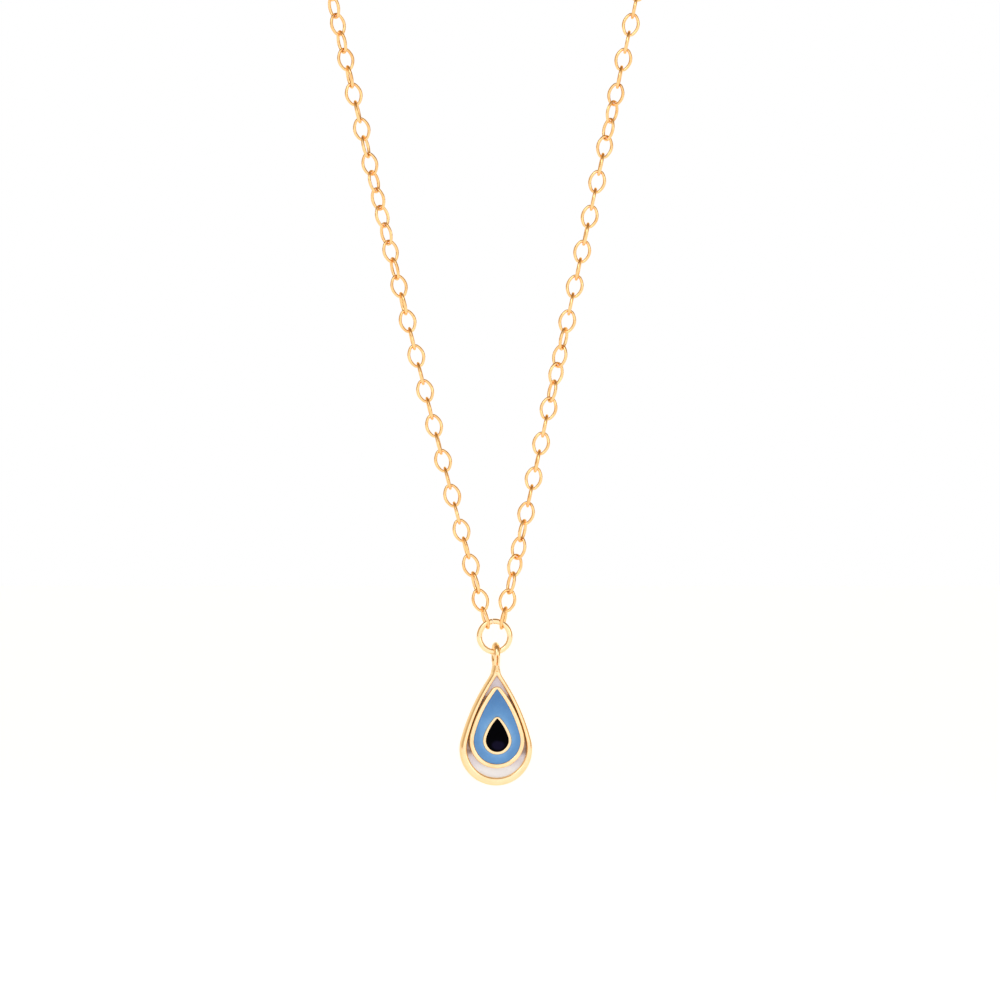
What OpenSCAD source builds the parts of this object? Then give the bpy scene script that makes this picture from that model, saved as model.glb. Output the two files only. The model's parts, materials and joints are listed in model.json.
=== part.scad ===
// Necklace with a drop-shaped evil eye pendant in enamel on gold.
// The pendant hangs from a round jump ring at the foot of two straight chain
// strands. Above them the chain turns back around the wearer's neck and meets
// at a spring ring clasp at the nape.
// The front of the pendant faces -Y and the chain hangs along -Z.

/* [Jump ring] */
// Outer diameter of the jump ring
ring_d = 3.6; // [3:0.1:6]
// Wire thickness of the jump ring
ring_wire = 0.55; // [0.4:0.05:0.9]
// Lap of the two end links' widths where they hang in the jump ring
end_link_lap = 0.23; // [0:0.01:0.3]

/* [Chain links] */
// Outer length of a link
link_l = 2.4; // [2.2:0.1:3.2]
// Outer width of a link
link_w = 1.8; // [1.3:0.1:2]
// Wire thickness of a link
link_wire = 0.28; // [0.2:0.02:0.36]
// Play between one link and the next
link_gap = 0.03; // [0.02:0.01:0.08]

/* [Hanging strands] */
// Links in each run of a strand that bends as one
run_links = 4; // [2:1:6]
// Runs in each strand
strand_runs = 11; // [8:1:11]
// Lean of the strands from the vertical, at their top
lean_top = 12.1; // [8:0.1:20]
// Extra lean at the foot of the left strand
left_foot_lean = 3.4; // [0:0.1:6]
// Extra lean at the foot of the right strand
right_foot_lean = 0; // [0:0.1:6]
// Turn of the end links from square to the jump ring
end_link_turn = 15; // [0:1:20]

/* [Chain around the neck] */
// Radius of the bend over the collarbone
collar_r = 28; // [20:1:40]
// Outward angle of the chain where it leaves the collarbone
collar_spread = 40; // [30:1:50]
// Rise of the neck loop from front to back
neck_tilt = 14; // [5:1:25]

/* [Drop pendant] */
// Half width of the drop
drop_r = 3.62; // [3.4:0.02:4.5]
// Height of the rim's tip above the drop's widest level
drop_tip = 8.05; // [7.4:0.01:10]
// Radius of every outline's long sides, as a multiple of one arc from its widest level to its tip
side_straightness = 1.85; // [1.3:0.05:3]
// Width of the rim at its sides
rim_side = 0.6; // [0.4:0.02:0.9]
// Height of the rim's tip above the opening inside it
rim_top = 0.75; // [0.5:0.01:1.4]
// Rise of that opening's widest level above the rim's
well_rise = 0.2; // [0:0.05:0.4]
// Depth of the rim from front to back
rim_depth = 1.9; // [1.6:0.1:3]
// Turn of the pendant about its own vertical axis
pendant_turn = 8; // [0:1:15]
// Place of the pendant to the right of the jump ring's middle
pendant_shift = 0.12; // [0:0.02:0.2]

/* [Enamel cells] */
// Width of the white enamel at its sides
white_side = 0.24; // [0.2:0.01:0.5]
// Height of the white enamel above the iris cell
white_top = 0.85; // [0.5:0.01:1.4]
// Rise of the iris cell's widest level above the rim's
iris_rise = 0.9; // [0.6:0.05:1.2]
// Wall of the iris cell
iris_wall = 0.45; // [0.25:0.01:0.5]
// Width of the blue enamel at its sides
blue_side = 0.88; // [0.6:0.01:1.1]
// Height of the blue enamel above the pupil cell
blue_top = 2.59; // [2:0.01:3]
// Rise of the pupil cell's widest level above the rim's
pupil_rise = 0.94; // [0.6:0.01:1.2]
// Wall of the pupil cell
pupil_wall = 0.33; // [0.2:0.01:0.4]
// Thickness of the back plate
plate_t = 0.5; // [0.3:0.05:0.8]
// Depth of the white enamel's surface behind the rim's front
white_recess = 0.45; // [0.2:0.05:0.8]
// Depth of the blue enamel's surface behind the iris cell's edge
blue_recess = 0.12; // [0.05:0.01:0.3]
// Depth of the black enamel's surface behind the pupil cell's edge
black_recess = 0.1; // [0.05:0.01:0.3]
// Stand of the iris cell's edge in front of the rim
iris_proud = 0.1; // [0:0.05:0.4]
// Stand of the pupil cell's edge in front of the rim
pupil_proud = 0.2; // [0:0.05:0.5]

/* [Bail] */
// Inner diameter of the bail's loop
bail_bore = 1.32; // [1:0.02:2]
// Wire thickness of the bail's loop
bail_wire = 0.68; // [0.5:0.02:0.9]
// Distance from the wire at the foot of the bail's loop to the rim's tip
neck_l = 0.34; // [0.34:0.02:1.5]
// Diameter of the neck between the bail and the rim
neck_d = 0.8; // [0.6:0.05:1]

/* [Clasp] */
// Radius of the clasp's ring, on the tube's centre line
clasp_r = 2.25; // [2.1:0.05:3.5]
// Outer diameter of the clasp's tube
tube_d = 1.3; // [1.2:0.05:1.6]
// Wall of the clasp's tube
tube_wall = 0.2; // [0.15:0.01:0.25]
// Running clearance around the gate, inside the tube
gate_play = 0.025; // [0.02:0.005:0.05]
// Angle at which the clasp's mouth starts
mouth_from = 50; // [45:1:55]
// Angle at which the clasp's mouth ends
mouth_to = 88; // [80:1:92]
// Turn of the gate from shut to open
gate_travel = 42; // [36:1:44]
// Outer diameter of the clasp's eyelet
eyelet_d = 1.9; // [1.7:0.1:2.4]
// Wire thickness of the clasp's eyelet
eyelet_wire = 0.45; // [0.35:0.05:0.5]
// Outer diameter of the ring that ties the clasp to the chain
tie_d = 2.6; // [2.3:0.1:3.5]
// Wire thickness of that ring
tie_wire = 0.45; // [0.35:0.05:0.6]
// Outer diameter of the ring at the other end of the chain
end_ring_d = 3; // [2.8:0.1:4]
// Wire thickness of that ring
end_ring_wire = 0.5; // [0.4:0.05:0.6]

/* [Hidden] */
$fn = 48;
neck_nodes = 4;
RUN_NAMES = [for (side = ["left", "right"], k = [1 : strand_runs]) str(side, "_chain_", k)];
NECK_NAMES = [for (side = ["left", "right"], k = [1 : neck_nodes]) str(side, "_neck_chain_", k)];

GOLD = [0.91, 0.72, 0.38];
CHAIN_GOLD = [0.88, 0.64, 0.32];
SKY = [0.33, 0.58, 0.81];
PEARL = [0.93, 0.91, 0.94];

LEFT = -1;
RIGHT = 1;

// Link outline, on the wire's centre line: two half circles and two straight sides
link_end_r = (link_w - link_wire) / 2;
link_side = link_l - link_w;

// A piece's reach between its two contacts, each in the middle of the play
function reach(d, wire) = d - 2 * wire - link_gap;
pitch = reach(link_l, link_wire);

function clamped(t) = max(0, min(1, t));
function unit(v) = v / norm(v);
function turned(v, a, k) = v * cos(a) + cross(k, v) * sin(a) + k * (k * v) * (1 - cos(a));
function to_half_turn(a) = a - 180 * round(a / 180);

// Hanging strands: every link rises by the same height, whatever its lean
strand_links = 1 + run_links * strand_runs;
LEAN_FADE = 1.3;
function foot_lean(side) = side == LEFT ? left_foot_lean : right_foot_lean;
function lean(side, i) =
    lean_top + foot_lean(side) * pow(1 - clamped((i + 0.5) / strand_links), LEAN_FADE);
rise = pitch * cos(lean(LEFT, 0));
ring_r = (ring_d - ring_wire) / 2;
end_link_angle = asin((link_w - end_link_lap) / 2 / ring_r);
function ring_spot(side) = ring_r * [side * sin(end_link_angle), 0, cos(end_link_angle)];
wires_apart = (ring_wire + link_wire + link_gap) / 2;
// How far the ring's bend lets an end link's wire lie below the ring's, along the link
function hold(along) = along - sqrt(along * along - wires_apart * (2 * ring_r - wires_apart));
function foot(side) =
    ring_spot(side)
    - (hold(ring_spot(side) * heading(side, 0)) - link_wire / 2) * heading(side, 0);

// Over the collarbone, then around the neck in a plane that rises to the back
BACK = [0, cos(neck_tilt), sin(neck_tilt)];
function strand_top(side) = [side * sin(lean_top), 0, cos(lean_top)];
function collar_end(side) = [side * sin(collar_spread), 0, 0] + cos(collar_spread) * BACK;
function collar_axis(side) = unit(cross(strand_top(side), collar_end(side)));
function nape_axis(side) = unit(cross(collar_end(side), [-side, 0, 0]));
collar_bend = acos(strand_top(RIGHT) * collar_end(RIGHT));
nape_bend = 90 + collar_spread;
collar_links = ceil(collar_r * collar_bend * PI / 180 / pitch);
collar_last = strand_links + collar_links;
collar_step = 2 * collar_r * sin(collar_bend / collar_links / 2);

function strand_heading(side, i) = [side * sin(lean(side, i)), 0, cos(lean(side, i))];
function collar_turn(i) = collar_bend * clamped((i - strand_links + 0.5) / collar_links);
function nape_turn(i) = nape_bend * clamped((i - collar_last + 0.5) / nape_links);
function heading(side, i) =
    i < strand_links ? strand_heading(side, i)
    : i < collar_last ? turned(strand_top(side), collar_turn(i), collar_axis(side))
    : turned(collar_end(side), nape_turn(i), nape_axis(side));
function step(side, i) =
    i < strand_links ? rise / cos(lean(side, i))
    : i < collar_last ? collar_step : nape_step;

// The ends of the collars fix the neck's middle and its radius
function moves(side, last) = [for (i = [0 : last]) step(side, i) * heading(side, i)];
function total(vectors) = [for (v = vectors) 1] * vectors;
collar_left = foot(LEFT) + total(moves(LEFT, collar_last - 1));
collar_right = foot(RIGHT) + total(moves(RIGHT, collar_last - 1));
neck_x = (collar_left[0] + collar_right[0]) / 2;
EYELET_SUNK = 0.15;
eyelet_x = -(clasp_r + tube_d / 2 + eyelet_d / 2 - EYELET_SUNK);
tie_x = eyelet_x - reach(eyelet_d, eyelet_wire) / 2 - reach(tie_d, tie_wire) / 2;
end_ring_x = clasp_r - tube_d / 2 - link_gap / 2 + reach(end_ring_d, end_ring_wire) / 2;
clasp_left = tie_x - reach(tie_d, tie_wire) / 2;
clasp_right = end_ring_x + reach(end_ring_d, end_ring_wire) / 2;
clasp_span = clasp_right - clasp_left;
clasp_x = neck_x - (clasp_left + clasp_right) / 2;
nape_r = ((collar_right[0] - collar_left[0]) / 2 - clasp_span / 2) / cos(collar_spread);
nape_links = ceil(nape_r * nape_bend * PI / 180 / pitch);
nape_step = 2 * nape_r * sin(nape_bend / nape_links / 2);
last_link = strand_links + collar_links + nape_links - 1;
function walk(side) = [
    for (i = 0, p = foot(side); i <= last_link + 1; p = p + step(side, i) * heading(side, i), i = i + 1)
        p
];
left_spots = walk(LEFT);
right_spots = walk(RIGHT);
function spots(side) = side == LEFT ? left_spots : right_spots;
nape = [clasp_x, left_spots[last_link + 1][1], left_spots[last_link + 1][2]];

// Each link stands square to the next, and the end links stand square to the jump ring
function own_turn(i) = 90 * ((i + 1) % 2);

// Quarter turns of the strands about their own line: middle link and links taken
LEFT_TWISTS = [[23, 13], [36, 14]];
RIGHT_TWISTS = [[3.5, 6], [14.5, 6], [28.5, 5]];
END_TURN_LINKS = [8, 2];
function quarter_turns(steps, i, k = 0) =
    k == len(steps) ? 0
    : 90 * clamped((i - steps[k][0]) / steps[k][1] + 0.5) + quarter_turns(steps, i, k + 1);
function strand_twist(side, i) =
    quarter_turns(side == LEFT ? LEFT_TWISTS : RIGHT_TWISTS, i)
    - side * end_link_turn * clamped(1 - i / END_TURN_LINKS[side == LEFT ? 0 : 1]);
function carried(side, v) =
    turned(turned(turned(v, side * lean_top, [0, 1, 0]), collar_bend, collar_axis(side)),
        nape_bend, nape_axis(side));
function clasp_roll(side) =
    atan2(-BACK * carried(side, [1, 0, 0]), BACK * carried(side, [0, 1, 0]));
function twist_left_over(side) =
    to_half_turn(clasp_roll(side) - own_turn(last_link) - strand_twist(side, strand_links));
function roll(side, i) =
    own_turn(i) + strand_twist(side, min(i, strand_links))
    + twist_left_over(side) * clamped((i - strand_links) / (last_link - strand_links));

// Drop outlines: a round foot, and two long side arcs that meet in a tip
well_r = drop_r - rim_side;
well_tip = drop_tip - rim_top - well_rise;
iris_r = well_r - white_side - iris_wall;
iris_tip = well_rise + well_tip - white_top - iris_wall - iris_rise;
pupil_r = iris_r - blue_side - pupil_wall;
pupil_tip = iris_rise + iris_tip - blue_top - pupil_wall - pupil_rise;
function side_r(r, tip) = side_straightness * (r * r + tip * tip) / (2 * r);
rim_front = -rim_depth / 2;
plate_front = rim_depth / 2 - plate_t;
iris_front = rim_front - iris_proud;
pupil_front = rim_front - pupil_proud;

// Bail
ring_foot_z = -ring_r;
bail_r = (bail_bore + bail_wire) / 2;
bail_z = ring_foot_z + ring_wire / 2 + link_gap - bail_bore / 2;
drop_depth = bail_r - bail_z + neck_l + drop_tip;

// Clasp
bore_d = tube_d - 2 * tube_wall;
gate_d = bore_d - 2 * gate_play;
GATE_LAP = 4;
POCKET = 6;
KNOB_BACK = 20;
GATE_TAIL = 40;
SPRING_TO = 225;
KNOB_STEM_D = 0.36;
KNOB_D = 0.75;
KNOB_OUT = 0.55;
SLOT_PLAY = 3;
STEM_PLAY = 0.06;
knob_angle = mouth_to + KNOB_BACK;
gate_from = mouth_from - GATE_LAP;
gate_to = mouth_to + GATE_TAIL;

module wire_arc(r, wire, from, to)
    rotate([0, 0, from])
        rotate_extrude(angle = to - from)
            translate([r, 0])
                circle(d = wire);

module round_ring(d, wire)
    rotate_extrude()
        translate([(d - wire) / 2, 0])
            circle(d = wire);

// One link, long along Z and flat in the XZ plane, as the jump ring is
module link()
    rotate([90, 0, 0])
        for (half = [0, 180])
            rotate([0, 0, half]) {
                translate([0, link_side / 2])
                    wire_arc(link_end_r, link_wire, 0, 180);
                translate([link_end_r, 0])
                    rotate([90, 0, 0])
                        cylinder(d = link_wire, h = link_side, center = true);
            }

// Carries a piece modelled around the jump ring's centre to the resting frame
module placed()
    translate(-nape)
        children();

module chain(side, from, to)
    color(CHAIN_GOLD)
        placed()
            for (i = [from : to])
                translate((spots(side)[i] + spots(side)[i + 1]) / 2)
                    rotate(i < strand_links ? 0 : nape_turn(i), nape_axis(side))
                        rotate(i < strand_links ? 0 : collar_turn(i), collar_axis(side))
                            rotate([0, side * (i < strand_links ? lean(side, i) : lean_top), 0])
                                rotate([0, 0, roll(side, i)])
                                    link();

module strand_run(side, k)
    chain(side, 1 + (k - 1) * run_links, k * run_links);

module neck_run(side, k) {
    count = last_link - strand_links + 1;
    chain(side, strand_links + floor((k - 1) * count / neck_nodes),
        strand_links + floor(k * count / neck_nodes) - 1);
}

// Drop outline with its widest level at the origin, grown by a wall
SIDE_FACETS = 720;
module drop_outline(r, tip, wall = 0) {
    sides = side_r(r, tip);
    angle = asin((sides * sides - pow(sides - r, 2) - tip * tip) / (2 * tip * (sides - r)));
    back_x = (sides - r) * cos(angle);
    back_y = (sides - r) * sin(angle);
    tip_angle = atan2(tip + back_y, back_x);
    circle(r = r + wall);
    intersection() {
        translate([-back_x, -back_y])
            circle(r = sides + wall, $fn = SIDE_FACETS);
        translate([back_x, -back_y])
            circle(r = sides + wall, $fn = SIDE_FACETS);
        polygon([
            [0, 0],
            [2 * r * cos(angle), 2 * r * sin(angle)],
            [2 * r, tip + wall * sin(tip_angle)],
            [-2 * r, tip + wall * sin(tip_angle)],
            [-2 * r * cos(angle), 2 * r * sin(angle)]
        ]);
    }
    if (wall > 0)
        translate([0, tip])
            circle(r = wall);
}

module well_outline()
    translate([0, well_rise])
        drop_outline(well_r, well_tip);

module iris_outline(wall = 0)
    translate([0, iris_rise])
        drop_outline(iris_r, iris_tip, wall);

module pupil_outline(wall = 0)
    translate([0, pupil_rise])
        drop_outline(pupil_r, pupil_tip, wall);

// Stands an outline upright between two depths
module upright(front, back)
    translate([0, back, 0])
        rotate([90, 0, 0])
            linear_extrude(back - front)
                children();

// Hangs a piece, modelled around the drop's widest level, below the ring
module hung()
    beside()
        translate([0, 0, -drop_depth])
            children();

// Turns and shifts a piece as the pendant rests in the ring
module beside()
    placed()
        translate([pendant_shift, 0, 0])
            rotate([0, 0, pendant_turn])
                children();

module drop_rim()
    color(GOLD)
        hung()
            upright(rim_front, rim_depth / 2)
                difference() {
                    drop_outline(drop_r, drop_tip);
                    well_outline();
                }

module back_plate()
    color(GOLD)
        hung()
            upright(plate_front, rim_depth / 2)
                well_outline();

module iris_cell()
    color(GOLD)
        hung()
            upright(iris_front, plate_front)
                difference() {
                    iris_outline(iris_wall);
                    iris_outline();
                }

module pupil_cell()
    color(GOLD)
        hung()
            upright(pupil_front, plate_front)
                difference() {
                    pupil_outline(pupil_wall);
                    pupil_outline();
                }

module white_enamel()
    color(PEARL)
        hung()
            upright(rim_front + white_recess, plate_front)
                difference() {
                    well_outline();
                    iris_outline(iris_wall);
                }

module blue_enamel()
    color(SKY)
        hung()
            upright(iris_front + blue_recess, plate_front)
                difference() {
                    iris_outline();
                    pupil_outline(pupil_wall);
                }

module black_enamel()
    color("black")
        hung()
            upright(pupil_front + black_recess, plate_front)
                pupil_outline();

module bail()
    color(GOLD)
        beside()
            difference() {
                union() {
                    translate([0, 0, bail_z])
                        rotate([0, 90, 0])
                            round_ring(bail_bore + 2 * bail_wire, bail_wire);
                    translate([0, 0, -drop_depth + drop_tip - neck_d])
                        cylinder(d = neck_d, h = bail_z - bail_r + drop_depth - drop_tip + neck_d);
                }
                translate([0, 0, -drop_depth])
                    upright(-neck_d, neck_d)
                        drop_outline(drop_r, drop_tip);
            }

module jump_ring()
    color(GOLD)
        placed()
            rotate([90, 0, 0])
                round_ring(ring_d, ring_wire);

// The clasp's own frame has its ring in the XY plane and the chain along X
module clasped()
    translate([clasp_x - nape[0], 0, 0])
        rotate([90 + neck_tilt, 0, 0])
            children();

module tie_ring()
    color(GOLD)
        clasped()
            translate([tie_x, 0, 0])
                rotate([90, 0, 0])
                    round_ring(tie_d, tie_wire);

module end_ring()
    color(GOLD)
        clasped()
            translate([end_ring_x, 0, 0])
                rotate([90, 0, 0])
                    round_ring(end_ring_d, end_ring_wire);

module clasp_shell()
    color(GOLD)
        clasped()
            difference() {
                union() {
                    wire_arc(clasp_r, tube_d, mouth_to, mouth_from + 360);
                    translate([eyelet_x, 0, 0])
                        round_ring(eyelet_d, eyelet_wire);
                }
                wire_arc(clasp_r, bore_d, mouth_from - POCKET, SPRING_TO);
                knob_slot();
            }

module knob_slot()
    rotate([0, 0, knob_angle - SLOT_PLAY])
        rotate_extrude(angle = gate_travel + 2 * SLOT_PLAY)
            translate([clasp_r, -KNOB_STEM_D / 2 - STEM_PLAY])
                square([tube_d, KNOB_STEM_D + 2 * STEM_PLAY]);

module clasp_gate()
    color(GOLD)
        clasped() {
            wire_arc(clasp_r, gate_d, gate_from, gate_to);
            rotate([0, 0, knob_angle])
                translate([clasp_r, 0, 0])
                    rotate([0, 90, 0]) {
                        cylinder(d = KNOB_STEM_D, h = tube_d / 2 + KNOB_OUT);
                        translate([0, 0, tube_d / 2 + KNOB_OUT - KNOB_D / 2])
                            cylinder(d = KNOB_D, h = KNOB_D / 2);
                    }
        }

module clasp_spring()
    color("silver")
        clasped()
            difference() {
                wire_arc(clasp_r, gate_d, gate_to + 0.5, SPRING_TO - 0.5);
                wire_arc(clasp_r, gate_d / 2, gate_to, SPRING_TO);
            }

drop_rim();
back_plate();
iris_cell();
pupil_cell();
white_enamel();
blue_enamel();
black_enamel();
bail();
jump_ring();
chain(LEFT, 0, 0);  // left_end_link
chain(RIGHT, 0, 0);  // right_end_link
for (k = [1 : strand_runs]) {
    strand_run(LEFT, k);
    strand_run(RIGHT, k);
}
for (k = [1 : neck_nodes]) {
    neck_run(LEFT, k);
    neck_run(RIGHT, k);
}
tie_ring();
clasp_shell();
clasp_gate();
clasp_spring();
end_ring();
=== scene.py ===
"""Looks of a gold necklace with a drop-shaped evil eye pendant in enamel.

Each piece is modelled in millimetres, in the frame of the sub-assembly that it
belongs to, and its finished mesh is carried to the row frame in metres.
"""

import json
import logging
import math
import random
from dataclasses import dataclass
from enum import Enum
from typing import Any, Iterable, Mapping, Sequence

import bmesh
import bpy
import numpy as np
from bmesh.types import BMEdge, BMesh, BMFace, BMVert
from mathutils import Matrix, Vector


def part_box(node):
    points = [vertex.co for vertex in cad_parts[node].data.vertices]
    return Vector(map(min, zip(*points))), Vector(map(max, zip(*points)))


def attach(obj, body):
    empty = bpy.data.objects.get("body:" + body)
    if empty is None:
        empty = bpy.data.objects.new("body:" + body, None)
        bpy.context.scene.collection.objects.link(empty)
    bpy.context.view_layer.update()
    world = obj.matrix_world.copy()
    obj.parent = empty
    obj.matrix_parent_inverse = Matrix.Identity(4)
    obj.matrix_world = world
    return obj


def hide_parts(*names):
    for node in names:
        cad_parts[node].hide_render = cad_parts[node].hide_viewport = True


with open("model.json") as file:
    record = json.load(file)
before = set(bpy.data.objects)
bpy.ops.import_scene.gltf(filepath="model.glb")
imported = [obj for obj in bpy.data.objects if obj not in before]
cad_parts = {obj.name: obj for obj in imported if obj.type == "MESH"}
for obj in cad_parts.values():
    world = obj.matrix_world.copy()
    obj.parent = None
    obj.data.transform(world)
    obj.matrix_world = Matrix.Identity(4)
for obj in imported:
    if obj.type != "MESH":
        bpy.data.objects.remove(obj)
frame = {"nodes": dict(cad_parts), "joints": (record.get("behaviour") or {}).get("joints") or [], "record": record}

log = logging.getLogger("necklace")

MM = 0.001
CLOSE_TOGETHER = 1e-5
Colour = tuple[float, float, float, float]
Profile = Sequence[tuple[float, float]]


class Slot(Enum):
    """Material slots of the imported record."""

    POLISHED_GOLD = "polished_gold"
    CHAIN_GOLD = "chain_gold"
    WHITE = "white_enamel"
    BLUE = "blue_enamel"
    BLACK = "black_enamel"
    STEEL = "spring_steel"


class Side(Enum):
    """The two strands of the chain."""

    LEFT = "left"
    RIGHT = "right"


# Shader trees


class Value:
    """A socket of a node tree that adds Math nodes as expressions are written with it."""

    def __init__(self, tree: "Tree", socket: bpy.types.NodeSocket) -> None:
        """Wraps one output socket of a tree."""
        self.tree = tree
        self.socket = socket

    def _math(self, operation: str, *values: "float | Value") -> "Value":
        """Adds one Math node."""
        return self.tree.node("ShaderNodeMath", {"operation": operation}, dict(enumerate(values)))

    def __add__(self, other: "float | Value") -> "Value":
        """self + other."""
        return self._math("ADD", self, other)

    __radd__ = __add__

    def __sub__(self, other: "float | Value") -> "Value":
        """self - other."""
        return self._math("SUBTRACT", self, other)

    def __rsub__(self, other: float) -> "Value":
        """other - self."""
        return self._math("SUBTRACT", other, self)

    def __mul__(self, other: "float | Value") -> "Value":
        """self * other."""
        return self._math("MULTIPLY", self, other)

    __rmul__ = __mul__

    def larger(self, other: "float | Value") -> "Value":
        """The larger of the two."""
        return self._math("MAXIMUM", self, other)

    def ramp(self, start: float, end: float) -> "Value":
        """A smooth step from 0 at start to 1 at end.

        Args:
            start: Value where the step begins; it may lie above end.
            end: Value where the step is complete.

        Returns:
            The stepped value, held between 0 and 1.
        """
        settings = {"interpolation_type": "SMOOTHSTEP"}
        return self.tree.node("ShaderNodeMapRange", settings, {0: self, 1: start, 2: end})


class Tree:
    """A node tree that is filled from expressions."""

    def __init__(self, nodes: bpy.types.NodeTree) -> None:
        """Wraps the tree of a material or of the world."""
        self.nodes = nodes

    def node(
        self,
        kind: str,
        settings: Mapping[str, Any],
        inputs: "Mapping[int | str, Any]",
        output: "int | str" = 0,
    ) -> Value:
        """Adds one node.

        Args:
            kind: The node's type.
            settings: Its properties, which are set before its sockets.
            inputs: Values or links of its input sockets.
            output: The output socket that is handed back.

        Returns:
            That output as a value.
        """
        made = self.nodes.nodes.new(kind)
        for name, setting in settings.items():
            setattr(made, name, setting)
        for name, value in inputs.items():
            self.feed(made.inputs[name], value)
        return Value(self, made.outputs[output])

    def feed(self, socket: bpy.types.NodeSocket, value: Any) -> None:
        """Links a value to a socket, or sets the socket to a constant."""
        if isinstance(value, Value):
            self.nodes.links.new(value.socket, socket)
        else:
            socket.default_value = value

    def mix(self, factor: "float | Value", first: Any, second: Any) -> Value:
        """Mixes two colours by a factor."""
        return self.node("ShaderNodeMix", {"data_type": "RGBA"}, {0: factor, 6: first, 7: second}, 2)

    def place(
        self,
        centre: Sequence[float] = (0, 0, 0),
        turn: float = 0,
        scale: Sequence[float] = (1, 1, 1),
    ) -> Value:
        """Object coordinates around a centre, turned back about Z, then scaled.

        Args:
            centre: Centre of the pattern in the row frame, in metres.
            turn: Turn of the pattern about Z.
            scale: Scale of each coordinate.

        Returns:
            The coordinates as a vector.
        """
        spot = self.node("ShaderNodeTexCoord", {}, {}, "Object")
        turned = self.node("ShaderNodeMapping", {"vector_type": "TEXTURE"},
                           {"Vector": spot, "Location": centre, "Rotation": (0, 0, turn)})
        return self.node("ShaderNodeMapping", {}, {"Vector": turned, "Scale": scale})

    def noise(self, spot: Value, size: float, detail: float = 2.0) -> Value:
        """Noise with features of a given size.

        Args:
            spot: Coordinates, in metres.
            size: Size of a feature, in millimetres.
            detail: Octaves of finer noise.

        Returns:
            The noise, around one half.
        """
        inputs = {"Vector": spot, "Scale": 1 / (size * MM), "Detail": detail}
        return self.node("ShaderNodeTexNoise", {}, inputs)

    def bump(self, height: Value, depth: float, strength: float = 1.0) -> Value:
        """A Bump node for a height of a given depth in millimetres."""
        inputs = {"Strength": strength, "Distance": depth * MM, "Height": height}
        return self.node("ShaderNodeBump", {}, inputs)


class Dressing(Tree):
    """A material with one Principled surface."""

    def __init__(self, name: str) -> None:
        """Makes the material."""
        self.material = bpy.data.materials.new(name)
        self.material.use_nodes = True
        super().__init__(self.material.node_tree)
        self.surface = self.material.node_tree.nodes["Principled BSDF"]

    def set(self, **sockets: Any) -> None:
        """Feeds the surface's sockets, named with underscores for spaces."""
        for name, value in sockets.items():
            self.feed(self.surface.inputs[name.replace("_", " ")], value)


@dataclass(frozen=True)
class Gold:
    """Polished gold plate with faint wear."""

    name: str
    base: Colour
    deep: Colour
    edge: Colour
    roughness: float = 0.13
    wear: float = 0.09
    scratch_depth: float = 0.004

    def dress(self) -> bpy.types.Material:
        """Makes the material."""
        gold = Dressing(self.name)
        spot = gold.place()
        clouds = gold.noise(spot, 1.4, 3)
        grain = gold.noise(spot, 0.12, 4)
        strokes = gold.noise(gold.place(scale=(1, 1, 0.12)), 0.05, 2)
        tarnish = clouds.ramp(0.42, 0.75)
        gold.set(
            Base_Color=gold.mix(tarnish * 0.55, self.base, self.deep),
            Metallic=1.0,
            Roughness=grain.ramp(0.35, 0.75) * self.wear + tarnish * 0.05 + self.roughness,
            Specular_Tint=self.edge,
            Normal=gold.bump(strokes * 0.6 + grain * 0.4, self.scratch_depth),
        )
        return gold.material


@dataclass(frozen=True)
class SpringSteel:
    """Bare drawn spring wire."""

    name: str = "spring_wire"
    base: Colour = (0.52, 0.52, 0.54, 1)
    dull: Colour = (0.33, 0.32, 0.31, 1)

    def dress(self) -> bpy.types.Material:
        """Makes the material."""
        steel = Dressing(self.name)
        spot = steel.place()
        grain = steel.noise(spot, 0.08, 3)
        steel.set(
            Base_Color=steel.mix(grain.ramp(0.4, 0.8), self.base, self.dull),
            Metallic=1.0,
            Roughness=grain * 0.2 + 0.2,
            Normal=steel.bump(grain, 0.003),
        )
        return steel.material


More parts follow.
